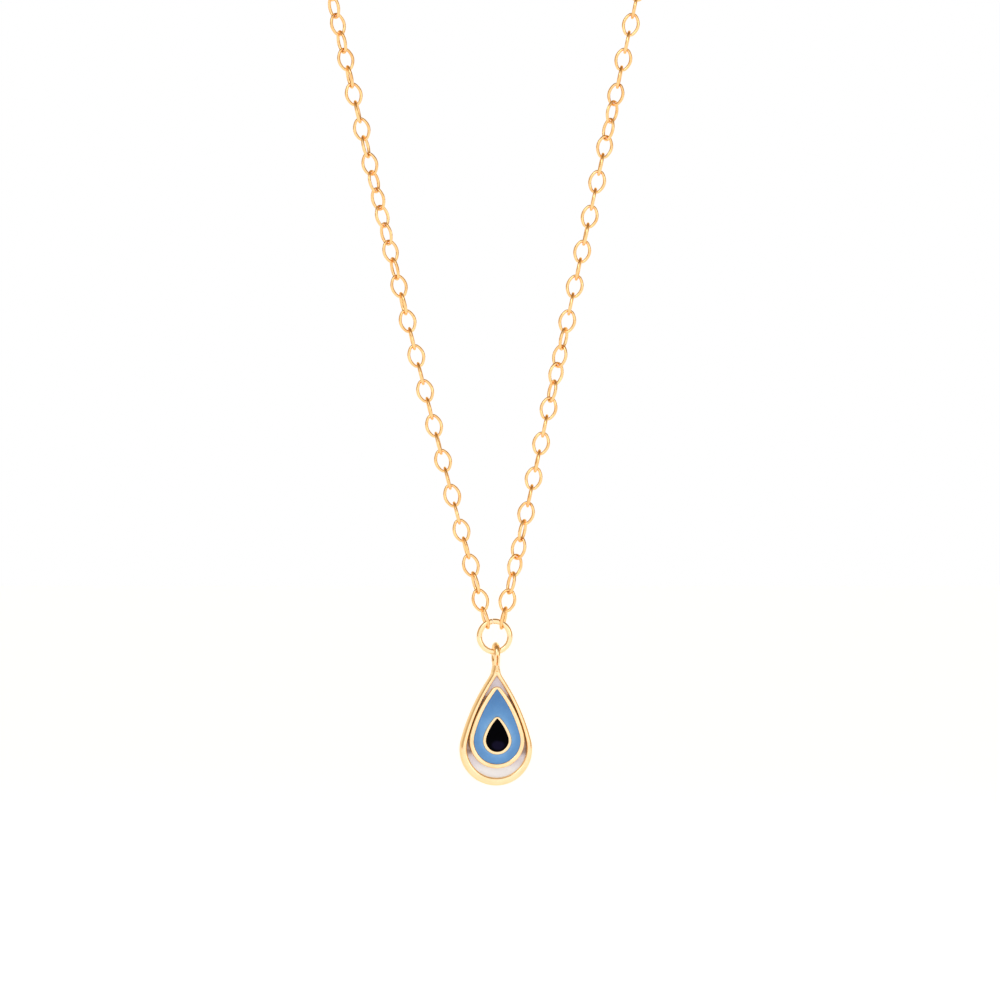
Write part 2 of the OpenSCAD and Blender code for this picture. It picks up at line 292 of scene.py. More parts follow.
@dataclass(frozen=True)
class Enamel:
    """Glossy fired enamel, cloudy all over, with a painted highlight around one spot and painted shade that
    darkens away from it.
    """

    name: str
    base: Colour
    # light is the colour of the painted highlight and of the random pale specks; dark is the colour of the painted
    # shade.
    light: Colour
    dark: Colour
    # Centre and size of the painted highlight, in the pendant's frame in millimetres.
    painted_highlight_at: tuple[float, float]
    painted_highlight_size: tuple[float, float]
    roughness: float = 0.1
    coat: float = 0.6
    gloss: float = 0.5
    ripple: float = 0.004

    def dress(self, pendant: "PendantSeat") -> bpy.types.Material:
        """Makes the material, with its painted highlight and painted shade.

        Args:
            pendant: Where the pendant hangs.

        Returns:
            The material.
        """
        enamel = Dressing(self.name)
        # Distance from the painted highlight's centre, scaled by its size.
        centre = pendant.to_row() @ Vector((self.painted_highlight_at[0], 0, self.painted_highlight_at[1]))
        reach = (1 / (self.painted_highlight_size[0] * MM), 0, 1 / (self.painted_highlight_size[1] * MM))
        around = enamel.place(centre, pendant.turn, reach)
        distance = enamel.node("ShaderNodeVectorMath", {"operation": "LENGTH"}, {0: around}, "Value")
        spot = enamel.place()
        clouds = enamel.noise(spot, 1.1, 4)
        specks = enamel.noise(spot, 0.09, 3)
        # Painted shade: darker with distance from the spot, broken up by the clouds.
        depth = (distance + (clouds - 0.5) * 0.9).ramp(0.75, 2.1)
        # Painted highlight around the spot.
        painted_highlight = (distance + (clouds - 0.5) * 0.5).ramp(1.15, 0.6)
        body = enamel.mix(depth, self.base, self.dark)
        speckled = enamel.mix(specks.ramp(0.5, 0.9) * 0.25, body, self.light)
        enamel.set(
            # Base colour: the painted highlight laid over the painted shade and the random specks.
            Base_Color=enamel.mix(painted_highlight, speckled, self.light),
            Roughness=clouds.ramp(0.3, 0.8) * 0.06 + self.roughness,
            Coat_Weight=specks.ramp(0.8, 0.3) * self.coat,
            Coat_Roughness=0.04,
            IOR=1.53,
            Specular_IOR_Level=self.gloss,
            Normal=enamel.bump(clouds * 0.8 + specks * 0.2, self.ripple),
        )
        return enamel.material


RIM_GOLD = Gold("rim_gold", (0.98, 0.75, 0.46, 1), (0.93, 0.64, 0.32, 1), (1.0, 0.82, 0.54, 1))
CHAIN_GOLD = Gold(
    "chain_wire_gold", (0.95, 0.64, 0.31, 1), (0.82, 0.45, 0.15, 1), (1.0, 0.70, 0.36, 1), 0.16)
WIRE_STEEL = SpringSteel()
# White enamel: painted highlight in the lower crescent and lilac-grey painted shade towards the top.
WHITE_ENAMEL = Enamel(
    "pearl_white_enamel", (0.71, 0.69, 0.77, 1), (0.80, 0.81, 0.86, 1), (0.64, 0.60, 0.70, 1),
    (0.0, -2.6), (3.2, 1.4), 0.12, 0.5)
# Blue enamel: painted highlight around the pupil and painted shade towards the outer walls and the tip.
BLUE_ENAMEL = Enamel(
    "sky_blue_enamel", (0.078, 0.27, 0.60, 1), (0.145, 0.37, 0.73, 1), (0.028, 0.165, 0.44, 1),
    (0.0, 1.2), (1.75, 2.2), 0.12, 0.5)
# Black enamel: a faint navy painted reflection at the lower middle.
BLACK_ENAMEL = Enamel(
    "black_pupil_enamel", (0.001, 0.001, 0.002, 1), (0.006, 0.005, 0.018, 1), (0.0005, 0.0005, 0.001, 1),
    (0.1, 0.4), (0.7, 0.5), 0.09, 0.0, 0.012)


# Meshes


def of_kind(parts: Iterable[Any], kind: type) -> list[Any]:
    """The members of an operator's result that are of one kind."""
    return [part for part in parts if isinstance(part, kind)]


def shown(name: str, data: bpy.types.ID) -> bpy.types.Object:
    """A new object in the scene."""
    made = bpy.data.objects.new(name, data)
    bpy.context.scene.collection.objects.link(made)
    return made


def settled(work: bpy.types.Object) -> BMesh:
    """The mesh of an object as its modifiers leave it; the object is removed."""
    bpy.context.view_layer.update()
    seen = work.evaluated_get(bpy.context.evaluated_depsgraph_get())
    mesh = bpy.data.meshes.new_from_object(seen)
    bm = bmesh.new()
    bm.from_mesh(mesh)
    bpy.data.objects.remove(work)
    bpy.data.meshes.remove(mesh)
    return bm


def softened(bm: BMesh, rims: Sequence[BMEdge], offset: float, segments: int = 2) -> None:
    """Rounds sharp edges with a small bevel."""
    bmesh.ops.bevel(bm, geom=rims, affect="EDGES", offset=offset, segments=segments,
                    profile=0.5, material=-1)


def closed_up(bm: BMesh) -> None:
    """Merges what meets and turns every face outwards."""
    bmesh.ops.remove_doubles(bm, verts=bm.verts, dist=CLOSE_TOGETHER)
    bmesh.ops.recalc_face_normals(bm, faces=bm.faces)


def swept(
    bm: BMesh, edges: Sequence[BMEdge], centre: Vector, axis: Vector, angle: float, steps: int
) -> list[BMEdge]:
    """Sweeps a section along an arc.

    Args:
        bm: Mesh that holds the section.
        edges: Edges of the section.
        centre: Centre of the arc.
        axis: Axis of the arc.
        angle: Angle of the arc.
        steps: Steps in the arc.

    Returns:
        The edges of the section at the far end.
    """
    made = bmesh.ops.spin(bm, geom=list(edges), cent=centre, axis=axis, angle=angle, steps=steps,
                          use_merge=False, use_duplicate=False)
    return of_kind(made["geom_last"], BMEdge)


def section(bm: BMesh, radius: float, count: int, placing: Matrix) -> list[BMEdge]:
    """Draws a round wire's section.

    Args:
        bm: Mesh to draw in.
        radius: Radius of the section.
        count: Vertices around it.
        placing: Carries the section, drawn in the XY plane, to its place.

    Returns:
        Its edges.
    """
    verts = bmesh.ops.create_circle(bm, segments=count, radius=radius, matrix=placing)["verts"]
    return list({edge for vert in verts for edge in vert.link_edges})


def wire_ring(diameter: float, wire: float, gap: float = 0.0, gap_at: float = 0.0) -> BMesh:
    """A ring of round wire in the XY plane.

    Args:
        diameter: Outer diameter.
        wire: Thickness of the wire.
        gap: Width of the cut between the wire's ends, or 0 for a closed ring.
        gap_at: Angle of the cut.

    Returns:
        The ring's mesh.
    """
    bm = bmesh.new()
    radius = (diameter - wire) / 2
    cut = gap / radius
    start = Matrix.Rotation(gap_at + cut / 2, 4, "Z")
    stand = Matrix.Translation((radius, 0, 0)) @ Matrix.Rotation(math.pi / 2, 4, "X")
    edges = section(bm, wire / 2, 20, start @ stand)
    far = swept(bm, edges, Vector(), Vector((0, 0, 1)), 2 * math.pi - cut, 88)
    if gap:
        ends = [bmesh.ops.contextual_create(bm, geom=loop)["faces"] for loop in (edges, far)]
        rims = [edge for faces in ends for face in faces for edge in face.edges]
        softened(bm, rims, wire * 0.07)
    closed_up(bm)
    return bm


@dataclass(frozen=True)
class DropOutline:
    """A drop seen from the front: a round foot, long side arcs and a rounded tip."""

    half_width: float
    apex: float
    rise: float = 0.0
    tip_round: float = 0.03
    flare: float = 0.0
    straightness: float = 1.85

    def point(self, share: float) -> tuple[float, float]:
        """Place on the right-hand side.

        Args:
            share: 0 at the foot and 1 at the tip.

        Returns:
            Distance from the middle, and height.
        """
        foot_share, side_share = 0.5, 0.92
        radius = self.half_width - self.tip_round
        tip = self.apex - self.tip_round - self.rise
        sides = self.straightness * (radius**2 + tip**2) / (2 * radius)
        back = sides - radius
        shoulder = math.asin((sides**2 - back**2 - tip**2) / (2 * tip * back))
        back_x, back_z = back * math.cos(shoulder), back * math.sin(shoulder)
        tip_angle = math.atan2(tip + back_z, back_x)
        if share < foot_share:
            angle = -math.pi / 2 + (shoulder + math.pi / 2) * share / foot_share
            x, z = self.half_width * math.cos(angle), self.half_width * math.sin(angle)
        elif share < side_share:
            angle = shoulder + (tip_angle - shoulder) * (share - foot_share) / (side_share - foot_share)
            x = (sides + self.tip_round) * math.cos(angle) - back_x
            z = (sides + self.tip_round) * math.sin(angle) - back_z
        else:
            angle = tip_angle + (math.pi / 2 - tip_angle) * (share - side_share) / (1 - side_share)
            x, z = self.tip_round * math.cos(angle), tip + self.tip_round * math.sin(angle)
        if self.flare and z > 0:
            x = (x**3 + self.flare**3) ** (1 / 3)
        return x, z + self.rise


class DropLoft:
    """A skin grown loop by loop between two drop outlines."""

    def __init__(self, outer: DropOutline, inner: DropOutline, half_count: int = 64) -> None:
        """Starts an empty skin.

        Args:
            outer: Outline where a profile's first number is 0.
            inner: Outline where it is 1.
            half_count: Vertices on each side of a loop.
        """
        self.bm = bmesh.new()
        self.half_count = half_count
        shares = [(i + 0.5) / (half_count - 0.5) for i in range(half_count)]
        self.outer = [outer.point(share) for share in shares]
        self.inner = [inner.point(share) for share in shares]

    def _places(self, across: float, depth: float) -> list[Vector]:
        """Places of one loop's vertices, from the foot up the right side and down the left."""
        right = [
            (outer[0] + (inner[0] - outer[0]) * across, outer[1] + (inner[1] - outer[1]) * across)
            for outer, inner in zip(self.outer, self.inner)
        ]
        around = right + [(-x, z) for x, z in reversed(right)]
        return [Vector((x, depth, z)) for x, z in around]

    def _grow(self, loop: list[BMVert], places: Sequence[Vector]) -> list[BMVert]:
        """Extrudes a loop to new places and gives the new loop, in the same order."""
        order = {vert: i for i, vert in enumerate(loop)}
        edges = [self.bm.edges.get((loop[i - 1], loop[i])) for i in range(len(loop))]
        made = bmesh.ops.extrude_edge_only(self.bm, edges=edges)["geom"]
        grown = dict.fromkeys(range(len(loop)))
        for vert in of_kind(made, BMVert):
            base = next(e.other_vert(vert) for e in vert.link_edges if e.other_vert(vert) in order)
            grown[order[base]] = vert
            vert.co = places[order[base]]
        return [grown[i] for i in range(len(loop))]

    def skin(self, profile: Profile, ring: bool) -> BMesh:
        """Grows the whole skin.

        Args:
            profile: Share from the outer to the inner outline, and depth, of each loop.
            ring: True joins the last loop to the first; False fills both.

        Returns:
            The closed mesh.
        """
        loop = bmesh.ops.create_circle(self.bm, segments=2 * self.half_count, radius=1)["verts"]
        for vert, place in zip(loop, self._places(*profile[0])):
            vert.co = place
        first = loop
        for across, depth in list(profile[1:]) + [profile[0]] * ring:
            loop = self._grow(loop, self._places(across, depth))
        if not ring:
            self.bm.faces.new(first)
            self.bm.faces.new(loop)
        closed_up(self.bm)
        return self.bm


def quarter(
    start: tuple[float, float], end: tuple[float, float], flat_first: bool, steps: int = 5
) -> Profile:
    """Points of a quarter ellipse between two points of a profile, both included.

    Args:
        start: First point.
        end: Last point.
        flat_first: True leaves the start along the first axis.
        steps: Pieces of the arc.

    Returns:
        The points.
    """
    points = []
    for i in range(steps + 1):
        angle = math.pi / 2 * i / steps
        first, second = (math.sin(angle), 1 - math.cos(angle))
        if not flat_first:
            first, second = second, first
        points.append((start[0] + (end[0] - start[0]) * first, start[1] + (end[1] - start[1]) * second))
    return points


def evaluated(bm: BMesh, modifiers: Sequence[tuple[str, Mapping[str, Any]]]) -> BMesh:
    """A mesh with modifiers applied, in millimetres.

    Args:
        bm: Mesh to change; it is freed.
        modifiers: Type and settings of each modifier.

    Returns:
        The changed mesh.
    """
    mesh = bpy.data.meshes.new("in_work")
    bm.to_mesh(mesh)
    bm.free()
    work = shown("in_work", mesh)
    for kind, settings in modifiers:
        modifier = work.modifiers.new(kind.lower(), kind)
        for name, setting in settings.items():
            setattr(modifier, name, setting)
    changed = settled(work)
    bpy.data.meshes.remove(mesh)
    return changed


@dataclass(frozen=True)
class Piece:
    """What a finished mesh is called and belongs to."""

    name: str
    body: str
    slot: Slot
    stands_for: tuple[str, ...]
    crease: float = math.radians(38)

    def finish(self, bm: BMesh, placing: Matrix, dress: bpy.types.Material) -> bpy.types.Object:
        """Carries a mesh to the row frame and gives it its finish and its body.

        Args:
            bm: Mesh in millimetres; it is freed.
            placing: From its own frame, in millimetres, to the row frame, in metres.
            dress: Its material.

        Returns:
            The piece.
        """
        mesh = bpy.data.meshes.new(self.name)
        bmesh.ops.transform(bm, matrix=placing, verts=bm.verts)
        bm.to_mesh(mesh)
        bm.free()
        mesh.polygons.foreach_set("use_smooth", [True] * len(mesh.polygons))
        mesh.set_sharp_from_angle(angle=self.crease)
        mesh.materials.append(dress)
        piece = shown(self.name, mesh)
        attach(piece, self.body)
        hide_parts(*self.stands_for)
        log.info("%s: %d faces on %s", self.name, len(mesh.polygons), self.body)
        return piece


# Places taken from the frame


def joint(name: str) -> Mapping[str, Any]:
    """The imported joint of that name."""
    return next(j for j in frame["joints"] if j["name"] == name)


def mount(name: str) -> Mapping[str, Any]:
    """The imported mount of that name."""
    return next(m for m in frame["record"]["mounts"] if m["name"] == name)


def body_of(node: str) -> str:
    """The body that a CAD node belongs to."""
    bodies = frame["record"]["behaviour"]["bodies"]
    return next(body for body, nodes in bodies.items() if node in nodes)


@dataclass(frozen=True)
class PendantSeat:
    """Where the drop's widest level hangs, and how far the pendant is turned."""

    place: Vector
    turn: float

    @classmethod
    def from_frame(cls) -> "PendantSeat":
        """Reads the seat from the pendant's back."""
        back = mount("pendant_back")
        behind = Vector(back["axis"]) * Pendant.half_depth * MM
        return cls(Vector(back["pos_m"]) - behind, math.atan2(-back["axis"][0], back["axis"][1]))

    def to_row(self) -> Matrix:
        """From the pendant's frame in millimetres to the row frame in metres."""
        return Matrix.Translation(self.place) @ Matrix.Rotation(self.turn, 4, "Z") @ Matrix.Scale(MM, 4)


# Pendant


@dataclass
class Pendant:
    """The gold drop, its two cells and their enamel, and its bail."""

    half_width: float = 3.62
    apex: float = 8.05
    well_half_width: float = 3.02
    well_apex: float = 7.3
    well_rise: float = 0.2
    neck_half_width: float = 0.35
    half_depth: float = 0.95
    plate_front: float = 0.45
    iris_half_width: float = 2.33
    iris_apex: float = 6.0
    iris_rise: float = 0.9
    iris_wall: float = 0.45
    iris_front: float = -1.05
    pupil_half_width: float = 1.12
    pupil_apex: float = 3.08
    pupil_rise: float = 0.94
    pupil_wall: float = 0.33
    pupil_front: float = -1.15
    white_level: float = -0.5
    blue_level: float = -0.93
    black_level: float = -1.05
    meniscus: float = 0.07
    channel_foot: float = -0.25
    channel_top: float = 5.2
    channel_fade: float = 0.12
    channel_sink: float = 0.6
    bail_level: float = 9.39
    bail_radius: float = 1.02
    bail_wire: float = 0.61
    tip_wall: float = 0.65
    tip_blunting: float = 1.2
    bail_front: float = -0.3
    fold_depth: float = 0.36
    fold_width: float = 0.055
    pit_level: float = 7.72
    pit_depth: float = 0.4
    pit_size: float = 0.09

    def build(self) -> None:
        """Builds every piece of the pendant."""
        self.seat = PendantSeat.from_frame()
        gold = RIM_GOLD.dress()
        self._add("drop_rim_shell", "drop_rim", self.rim(), gold)
        self._add("drop_back_plate", "back_plate", self.back(), gold)
        iris_cell = self.cell(self.iris(), self.iris_wall, self.iris_front)
        self._add("iris_cell_wall", "iris_cell", iris_cell, gold)
        pupil_cell = self.cell(self.pupil(), self.pupil_wall, self.pupil_front)
        self._add("pupil_cell_wall", "pupil_cell", pupil_cell, gold)
        self._add("enamel_of_white", "white_enamel", self.white(), WHITE_ENAMEL.dress(self.seat), Slot.WHITE)
        self._add("enamel_of_iris", "blue_enamel", self.blue(), BLUE_ENAMEL.dress(self.seat), Slot.BLUE)
        self._add("enamel_of_pupil", "black_enamel", self.black(), BLACK_ENAMEL.dress(self.seat), Slot.BLACK)
        self._add("bail_and_neck", "bail", self.bail(), gold)

    def _add(
        self,
        name: str,
        node: str,
        bm: BMesh,
        dress: bpy.types.Material,
        slot: Slot = Slot.POLISHED_GOLD,
    ) -> None:
        """Finishes one piece on the pendant's body."""
        Piece(name, body_of(node), slot, (node,)).finish(bm, self.seat.to_row(), dress)

    def well(self) -> DropOutline:
        """Opening inside the rim."""
        return DropOutline(self.well_half_width, self.well_apex, self.well_rise, 0.05)

    def iris(self, wall: float = 0.0) -> DropOutline:
        """Outline of the blue enamel, or of its cell's outside."""
        return self._grown(DropOutline(self.iris_half_width, self.iris_apex, self.iris_rise, 0.04), wall)

    def pupil(self, wall: float = 0.0) -> DropOutline:
        """Outline of the black enamel, or of its cell's outside."""
        return self._grown(DropOutline(self.pupil_half_width, self.pupil_apex, self.pupil_rise, 0.04), wall)

    def _grown(self, inner: DropOutline, wall: float) -> DropOutline:
        """The outside of a wall round an outline; its tip is blunter than the outline's."""
        apex = inner.apex + wall * self.tip_wall
        tip_round = inner.tip_round + wall * self.tip_blunting
        return DropOutline(inner.half_width + wall, apex, inner.rise, tip_round)

    def rim(self) -> BMesh:
        """Rounded rim, which flares out of the bail's neck."""
        outer = DropOutline(self.half_width, self.apex, 0, 0.02, self.neck_half_width)
        front, back = -self.half_depth, self.half_depth
        profile = [
            *quarter((0.55, back), (0.0, 0.35), True, 8),
            (0.0, 0.1),
            *quarter((0.0, -0.3), (0.52, front), False, 10),
            *quarter((0.66, front), (1.0, front + 0.24), True, 6),
            (1.0, self.plate_front),
            (1.0, back - 0.04),
            (0.93, back),
        ]
        bm = DropLoft(outer, self.well()).skin(profile, True)
        for vert in bm.verts:
            vert.co.y += self._pit(vert.co)
        return bm

    def back(self) -> BMesh:
        """Plate that closes the back, with a soft edge where it meets the rim."""
        middle = DropOutline(0.2, 1.2, 0.2, 0.05)
        back = self.half_depth
        profile = [
            (1.0, self.plate_front),
            (0.5, self.plate_front),
            (0.0, self.plate_front),
            (0.0, back - 0.05),
            *quarter((0.004, back - 0.04), (0.035, back), False, 3),
            (0.5, back + 0.01),
            (1.0, back + 0.015),
        ]
        return DropLoft(self.well(), middle).skin(profile, False)

    def cell(self, inner: DropOutline, wall: float, front: float) -> BMesh:
        """A cell's standing wall with a rounded edge.

        Args:
            inner: Outline of its enamel.
            wall: Its thickness.
            front: Depth of its edge.

        Returns:
            The wall's mesh.
        """
        outer = self._grown(inner, wall)
        profile = [
            (0.0, self.plate_front),
            (0.0, self.white_level),
            *quarter((0.0, front + 0.16), (0.34, front), False, 6),
            *quarter((0.66, front), (1.0, front + 0.12), True, 5),
            (1.0, self.plate_front),
        ]
        return DropLoft(outer, inner).skin(profile, True)

    def _pool(self, level: float, crown: float) -> Profile:
        """Profile of an enamel pool that climbs its walls.

        Args:
            level: Depth of the enamel's surface.
            crown: How far its middle stands in front of that depth.

        Returns:
            The profile, from the outer wall to the inner one and back behind.
        """
        steps = 12
        front = []
        for i in range(steps + 1):
            across = i / steps
            climb = self.meniscus * ((1 - across) ** 6 + across**6)
            front.append((across, level - climb - crown * math.sin(math.pi * across)))
        return [(0.0, self.plate_front), *front, (1.0, self.plate_front)]

    def white(self) -> BMesh:
        """White enamel between the rim and the iris cell, sunk where the channel is narrow."""
        bm = DropLoft(self.well(), self.iris(self.iris_wall)).skin(self._pool(self.white_level, 0.02), True)
        for vert in bm.verts:
            if vert.co.y < self.plate_front - CLOSE_TOGETHER:
                above = 1 / (1 + math.exp(-(vert.co.z - self.channel_foot) / self.channel_fade))
                below = 1 / (1 + math.exp((vert.co.z - self.channel_top) / self.channel_fade))
                vert.co.y += self.channel_sink * above * below
        return bm

    def blue(self) -> BMesh:
        """Blue enamel between the two cells."""
        loft = DropLoft(self.iris(), self.pupil(self.pupil_wall))
        return loft.skin(self._pool(self.blue_level, 0.03), True)

    def black(self) -> BMesh:
        """Black enamel, slightly domed."""
        middle = DropOutline(0.05, self.pupil_rise + 0.35, self.pupil_rise + 0.1, 0.02)
        crown, steps = 0.05, 10
        domed = []
        for across in (i / steps for i in range(steps + 1)):
            climb = self.meniscus * (1 - across) ** 6
            domed.append((across, self.black_level - climb - crown * math.sin(math.pi / 2 * across)))
        profile = [(1.0, self.plate_front), (0.0, self.plate_front), *domed]
        return DropLoft(self.pupil(), middle).skin(profile, False)

    def bail(self) -> BMesh:
        """Cast loop with a neck that runs down into the rim, and a fold line along its front."""
        voxel, rounds = 0.028, 6
        bm = bmesh.new()
        stand = Matrix.Translation((0, -self.bail_radius, self.bail_level))
        edges = section(bm, self.bail_wire / 2, 28, stand)
        swept(bm, edges, Vector((0, 0, self.bail_level)), Vector((1, 0, 0)), 2 * math.pi, 72)
        bmesh.ops.remove_doubles(bm, verts=bm.verts, dist=CLOSE_TOGETHER)
        self._add_neck(bm)
        bmesh.ops.recalc_face_normals(bm, faces=bm.faces)
        blended = evaluated(bm, [
            ("REMESH", {"mode": "VOXEL", "voxel_size": voxel}),
            ("SMOOTH", {"factor": 0.5, "iterations": rounds}),
        ])
        for vert in blended.verts:
            vert.co.y += self._fold(vert.co) + self._pit(vert.co)
        return blended

    def _add_neck(self, bm: BMesh) -> None:
        """Adds the neck as a stack of ovals: height, half width and half depth of each."""
        levels = (
            (7.30, 0.16, 0.80), (7.40, 0.34, 0.96), (7.56, 0.47, 1.01), (7.74, 0.46, 1.03),
            (7.92, 0.42, 1.04), (8.11, 0.37, 1.04), (8.36, 0.325, 1.04), (8.56, 0.305, 1.06),
            (8.72, 0.30, 1.08), (8.86, 0.28, 1.04),
        )
        count, squareness = 28, 0.85
        loop = bmesh.ops.create_circle(bm, segments=count, radius=1, cap_ends=True)["verts"]
        edges = list({edge for vert in loop for edge in vert.link_edges})
        directions = {vert: vert.co.copy() for vert in loop}
        for place, (height, half_width, half_depth) in enumerate(levels):
            if place:
                made = bmesh.ops.extrude_edge_only(bm, edges=edges)["geom"]
                verts = of_kind(made, BMVert)
                edges = [e for e in of_kind(made, BMEdge) if all(v in verts for v in e.verts)]
                neighbours = {v: [e.other_vert(v) for e in v.link_edges] for v in verts}
                bases = {v: next(near for near in neighbours[v] if near in directions) for v in verts}
                directions = {v: directions[bases[v]] for v in verts}
            for vert, way in directions.items():
                x = math.copysign(abs(way.x) ** squareness, way.x) * half_width
                y = math.copysign(abs(way.y) ** squareness, way.y) * half_depth
                vert.co = Vector((x, y, height))
        bmesh.ops.contextual_create(bm, geom=edges)

    def _fold(self, place: Vector) -> float:
        """How far the fold line sinks a point of the bail's front."""
        if place.y > self.bail_front:
            return 0.0
        top_fade = min(1.0, max(0.0, (9.5 - place.z) / 0.3))
        foot_fade = 0.2 + 0.8 * min(1.0, max(0.0, (place.z - 8.4) / 0.3))
        return self.fold_depth * top_fade * foot_fade * math.exp(-((place.x / self.fold_width) ** 2))

    def _pit(self, place: Vector) -> float:
        """How far the pit where bail and rim meet sinks a point of their front."""
        if place.y > self.bail_front:
            return 0.0
        away = (place.x / self.pit_size) ** 2 + ((place.z - self.pit_level) / self.pit_size) ** 2
        return self.pit_depth * math.exp(-away)


# Rings and chain


@dataclass
class JumpRing:
    """The round ring between the strands and the pendant."""

    diameter: float = 3.6
    wire: float = 0.55
    cut: float = 0.025
    cut_at: float = math.radians(97)

    def build(self) -> None:
        """Builds the ring, upright, with its cut at the top."""
        bm = wire_ring(self.diameter, self.wire, self.cut, self.cut_at)
        upright = Matrix.Rotation(math.pi / 2, 4, "X")
        placing = Matrix.Translation(joint("ring_turn")["pos_m"]) @ upright @ Matrix.Scale(MM, 4)
        piece = Piece("round_jump_ring", body_of("jump_ring"), Slot.POLISHED_GOLD, ("jump_ring",))
        piece.finish(bm, placing, RIM_GOLD.dress())


@dataclass
class Chain:
    """Cable chain of oval links of round wire."""

    length: float = 2.4
    width: float = 1.8
    wire: float = 0.29
    side_swell: float = 1.16
    end_radius: float = 0.6
    end_steps: int = 4
    side_steps: int = 3
    section_count: int = 4
    smooth_levels: int = 2
    roll_play: float = math.radians(4)
    merge: float = 1e-6

    def build(self) -> None:
        """Builds one piece for each chain node of the frame."""
        self.rng = random.Random(11)
        self.dress = CHAIN_GOLD.dress()
        self.link = self._link()
        for side in Side:
            self._add(f"{side.value}_strand_end", f"{side.value}_end_link")
            for kind, name in (("chain", "strand_run"), ("neck_chain", "nape_run")):
                for k in self._numbers(side, kind):
                    self._add(f"{side.value}_{name}_{k}", f"{side.value}_{kind}_{k}")
        bpy.data.meshes.remove(self.link)

    def _numbers(self, side: Side, kind: str) -> list[int]:
        """Numbers of the chain nodes of one kind on one side."""
        start = f"{side.value}_{kind}_"
        return sorted(int(node[len(start):]) for node in frame["nodes"] if node.startswith(start))

    def _link(self) -> bpy.types.Mesh:
        """One link, long along Z and flat in the XZ plane, coarse enough to be smoothed."""
        bm = bmesh.new()
        half_length, half_width = (self.length - self.wire) / 2, (self.width - self.wire) / 2
        side_radius = self._side_radius(half_length, half_width)
        lean = math.atan2(half_length - self.end_radius, side_radius - half_width)
        end_step, side_step = (math.pi - 2 * lean) / self.end_steps, 2 * lean / self.side_steps
        half_length += self.end_radius * (1 - math.cos(end_step)) / 3
        half_width += side_radius * (1 - math.cos(side_step)) / 3
        side_radius = self._side_radius(half_length, half_width)
        lean = math.atan2(half_length - self.end_radius, side_radius - half_width)
        section_loss = (2 + math.cos(2 * math.pi / self.section_count)) / 3
        forward = Vector((0, -1, 0))
        side_centre = Vector((half_width - side_radius, 0, 0))
        end_centre = Vector((0, 0, half_length - self.end_radius))
        to_centre = Matrix.Translation(side_centre)
        start = to_centre @ Matrix.Rotation(lean, 4, "Y") @ to_centre.inverted()
        stand = Matrix.Translation((half_width, 0, 0))
        edges = section(bm, self.wire / 2 / section_loss, self.section_count, start @ stand)
        for sign in (1, -1):
            edges = swept(bm, edges, side_centre * sign, forward, 2 * lean, self.side_steps)
            edges = swept(bm, edges, end_centre * sign, forward, math.pi - 2 * lean, self.end_steps)
        bmesh.ops.remove_doubles(bm, verts=bm.verts, dist=1e-3)
        for vert in bm.verts:
            off = min(1.0, abs(vert.co.z) / half_length)
            swell = 1 + (self.side_swell - 1) * math.cos(math.pi / 2 * off) ** 2
            vert.co.y *= swell
            middle = math.copysign(half_width, vert.co.x)
            if abs(vert.co.z) < half_length - self.end_radius / 2:
                vert.co.x = middle + (vert.co.x - middle) * swell
        bmesh.ops.recalc_face_normals(bm, faces=bm.faces)
        mesh = bpy.data.meshes.new("one_link")
        bm.to_mesh(mesh)
        bm.free()
        return mesh

    def _side_radius(self, half_length: float, half_width: float) -> float:
        """Radius of the long sides, tangent to the ends, on the wire's centre line."""
        end = self.end_radius
        return ((half_length - end) ** 2 + half_width**2 - end**2) / (2 * (half_width - end))

    def _seats(self, node: str) -> list[Matrix]:
        """Where each link of a chain node lies.

        Args:
            node: Name of the CAD node.

        Returns:
            For each link, the turn and place that carry it there from its own frame in metres.
        """
        bm = bmesh.new()
        bm.from_mesh(frame["nodes"][node].data)
        bmesh.ops.remove_doubles(bm, verts=bm.verts, dist=self.merge)
        left = set(bm.faces)
        seats = []
        for seed in bm.faces:
            if seed not in left:
                continue
            left.discard(seed)
            island, front = [seed], [seed]
            while front:
                face = front.pop()
                for near in (f for edge in face.edges for f in edge.link_faces if f in left):
                    left.discard(near)
                    island.append(near)
                    front.append(near)
            seats.append(self._seat(island))
        bm.free()
        return seats

    def _seat(self, island: Sequence[BMFace]) -> Matrix:
        """The seat of one link, from the middle and the main axes of its surface."""
        spots = np.array([face.calc_center_median() for face in island])
        areas = np.array([face.calc_area() for face in island])
        middle = np.average(spots, axis=0, weights=areas)
        spread = (spots - middle).T @ ((spots - middle) * areas[:, None])
        axes = np.linalg.eigh(spread)[1]
        along, across = Vector(axes[:, 2]), Vector(axes[:, 1])
        turn = Matrix((across, along.cross(across), along)).transposed()
        return Matrix.Translation(middle) @ turn.to_4x4()

    def _add(self, name: str, node: str) -> None:
        """Fills one chain node with links and finishes it."""
        bm = bmesh.new()
        for seat in self._seats(node):
            before = len(bm.verts)
            bm.from_mesh(self.link)
            bm.verts.ensure_lookup_table()
            roll = Matrix.Rotation(self.rng.uniform(-self.roll_play, self.roll_play), 4, "Z")
            bmesh.ops.transform(bm, matrix=seat @ roll @ Matrix.Scale(MM, 4), verts=bm.verts[before:])
        piece = Piece(name, body_of(node), Slot.CHAIN_GOLD, (node,))
        piece = piece.finish(bm, Matrix.Identity(4), self.dress)
        smooth = piece.modifiers.new("rounded_wire", "SUBSURF")
        smooth.levels = smooth.render_levels = self.smooth_levels


